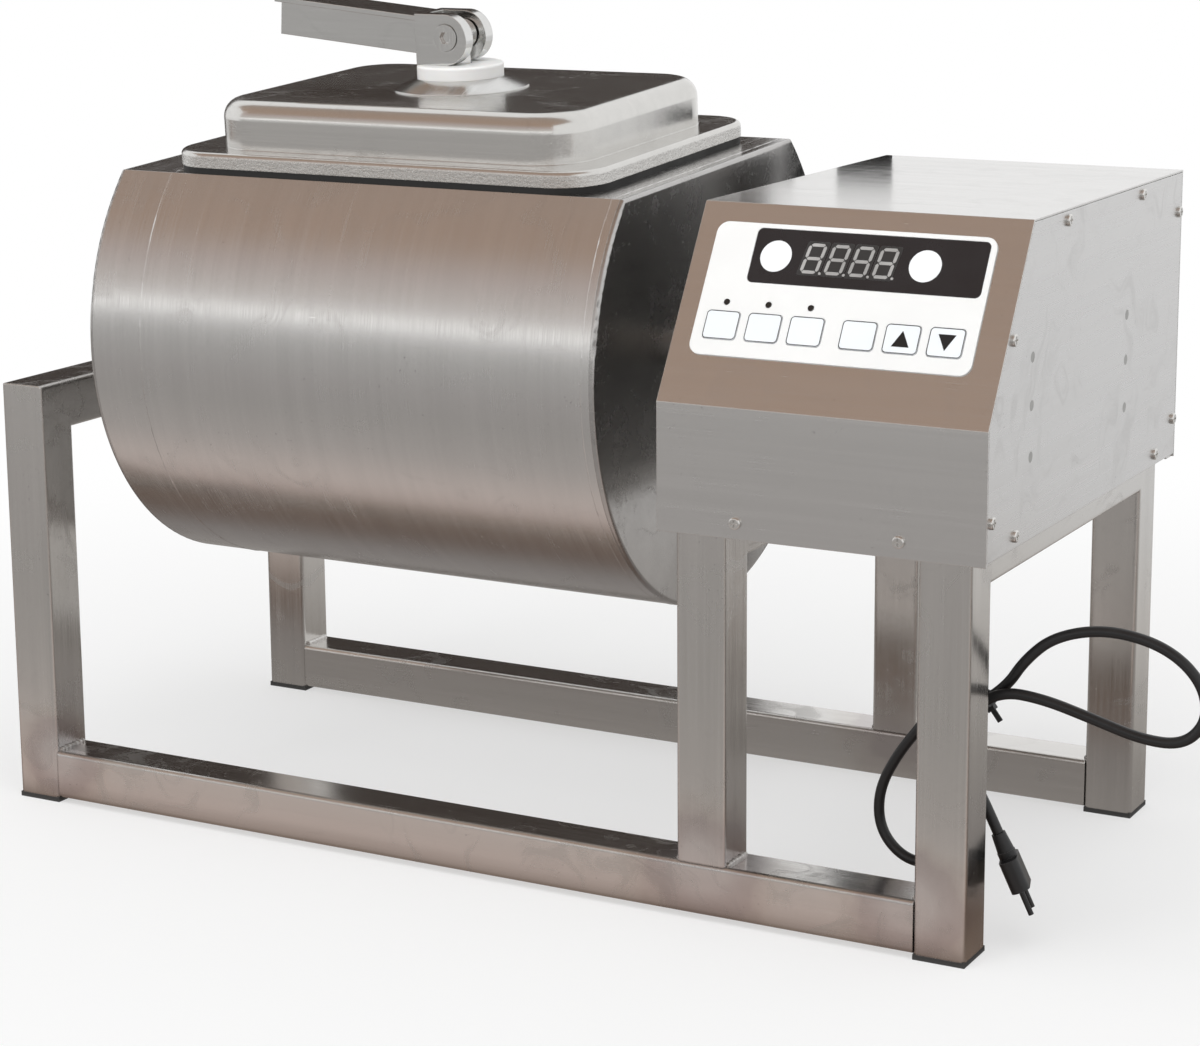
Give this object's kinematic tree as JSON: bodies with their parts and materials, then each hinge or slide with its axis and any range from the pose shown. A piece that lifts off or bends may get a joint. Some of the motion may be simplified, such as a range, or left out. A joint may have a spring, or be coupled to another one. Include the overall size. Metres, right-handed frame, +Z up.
{
  "type": "meat vacuum tumbler",
  "caption": "Horizontal meat tumbler: flat-topped steel drum with a clamped lid, turning on bearings in a square-tube stand, with a sloped control cabinet.",
  "frame": {"origin": "on the standing surface under the middle of the machine's footprint, without the supply cord", "axes": "+X from the drum towards the control cabinet, along the drum's axle; +Y from the control front towards the back; +Z up"},
  "size_m": [1.0003, 0.421, 0.6647],
  "materials": {
    "frame_steel": "ground and brushed square tube",
    "drum_steel": "fine brushed round the drum",
    "lid_steel": "pressed sheet with a ground edge",
    "cabinet_steel": "brushed sheet",
    "turned_steel": "turned, bright",
    "cast_steel": "investment cast, blasted",
    "gear_steel": "machined, oiled",
    "bearing_steel": "ground",
    "cast_housing": "silver grey paint on a casting",
    "motor_paint": "dark satin paint",
    "pump_body": "die cast",
    "foot_rubber": "matt",
    "gasket_rubber": "matt",
    "cord_rubber": "satin",
    "black_nylon": "satin",
    "white_nylon": "satin",
    "overlay_film": "matt film",
    "key_film": "matt film",
    "display_lens": "gloss",
    "lamp_lens": "gloss",
    "board_laminate": "lacquered board",
    "clear_hose": "translucent"
  },
  "bodies": {
    "frame": {"front_bottom_rail": "frame_steel", "rear_bottom_rail": "frame_steel", "idle_end_portal": "frame_steel", "middle_portal": "frame_steel", "cabinet_end_portal": "frame_steel", "foot_pads": "foot_rubber", "idle_bearing_seat": "frame_steel", "drive_bearing_riser": "frame_steel", "idle_bearing_housing": "cast_housing", "drive_bearing_housing": "cast_housing", "idle_bearing": "bearing_steel", "drive_bearing": "bearing_steel", "bearing_bolts": "turned_steel", "cabinet_cover": "cabinet_steel", "left_side_panel": "cabinet_steel", "right_side_panel": "cabinet_steel", "panel_clinch_studs": "turned_steel", "floor_pan": "cabinet_steel", "pan_head_screws": "turned_steel", "panel_overlay": "overlay_film", "display_window": "display_lens", "panel_board": "board_laminate", "indicator_lamps": "lamp_lens", "gearbox": "motor_paint", "drive_motor": "motor_paint", "motor_bracket": "cabinet_steel", "rotary_union": "turned_steel", "vacuum_hose": "clear_hose", "vacuum_pump": "pump_body", "pump_motor": "motor_paint", "control_board": "board_laminate", "cord_gland": "black_nylon", "power_cord": "cord_rubber", "cord_tie": "black_nylon", "power_plug": "cord_rubber"},
    "drum": {"drum_shell": "drum_steel", "drum_idle_end": "drum_steel", "drum_drive_end": "drum_steel", "opening_rim": "drum_steel", "mixing_vanes": "drum_steel", "idle_axle": "turned_steel", "drive_axle": "turned_steel", "air_strainer": "turned_steel", "drive_gear": "gear_steel"},
    "lid": {"lid": "lid_steel", "lid_gasket": "gasket_rubber", "lid_collar": "turned_steel"},
    "clamp_washer": {"nylon_washer": "white_nylon"},
    "clamp": {"clamp_stud": "turned_steel", "clamp_bar": "turned_steel", "clamp_nut": "turned_steel", "lever_pin": "turned_steel"},
    "lever": {"cam_lever": "cast_steel"},
    "pinion": {"pinion_shaft": "gear_steel"},
    "key_one": {"key_one": "key_film"},
    "key_two": {"key_two": "key_film"},
    "key_three": {"key_three": "key_film"},
    "key_four": {"key_four": "key_film"},
    "key_up": {"key_up": "key_film"},
    "key_down": {"key_down": "key_film"}
  },
  "joints": [
    {"name": "drum_spin", "type": "hinge", "parent": "frame", "child": "drum", "pos_m": [0, -0.00345, 0.3935], "axis": [1, 0, 0], "continuous": true},
    {"name": "lid_lift", "type": "slide", "parent": "drum", "child": "lid", "axis": [0, -0.0593, 0.9982], "range_m": [0, 0.18]},
    {"name": "clamp_turn", "type": "hinge", "parent": "lid", "child": "clamp_washer", "pos_m": [-0.1028, -0.01199, 0.53725], "axis": [0, -0.0593, 0.9982], "range_deg": [0, 90]},
    {"name": "clamp_draw", "type": "slide", "parent": "clamp_washer", "child": "clamp", "axis": [0, -0.0593, 0.9982], "range_m": [-0.0031, 0]},
    {"name": "cam_lever_lift", "type": "hinge", "parent": "clamp", "child": "lever", "pos_m": [-0.1028, -0.01774, 0.63408], "axis": [0, 0.9982, 0.0593], "range_deg": [0, 90]},
    {"name": "pinion_spin", "type": "hinge", "parent": "frame", "child": "pinion", "pos_m": [0, 0.07455, 0.3935], "axis": [1, 0, 0], "continuous": true},
    {"name": "key_one_press", "type": "slide", "parent": "frame", "child": "key_one", "axis": [0, 0.8586, -0.5126], "range_m": [0, 0.0005], "stiffness_N_per_m": 3000},
    {"name": "key_two_press", "type": "slide", "parent": "frame", "child": "key_two", "axis": [0, 0.8586, -0.5126], "range_m": [0, 0.0005], "stiffness_N_per_m": 3000},
    {"name": "key_three_press", "type": "slide", "parent": "frame", "child": "key_three", "axis": [0, 0.8586, -0.5126], "range_m": [0, 0.0005], "stiffness_N_per_m": 3000},
    {"name": "key_four_press", "type": "slide", "parent": "frame", "child": "key_four", "axis": [0, 0.8586, -0.5126], "range_m": [0, 0.0005], "stiffness_N_per_m": 3000},
    {"name": "key_up_press", "type": "slide", "parent": "frame", "child": "key_up", "axis": [0, 0.8586, -0.5126], "range_m": [0, 0.0005], "stiffness_N_per_m": 3000},
    {"name": "key_down_press", "type": "slide", "parent": "frame", "child": "key_down", "axis": [0, 0.8586, -0.5126], "range_m": [0, 0.0005], "stiffness_N_per_m": 3000}
  ],
  "couplings": [
    {"joint": "clamp_draw", "follows": "cam_lever_lift", "m_per_rad": -0.0019099},
    {"joint": "pinion_spin", "follows": "drum_spin", "ratio": -3.3333}
  ]
}
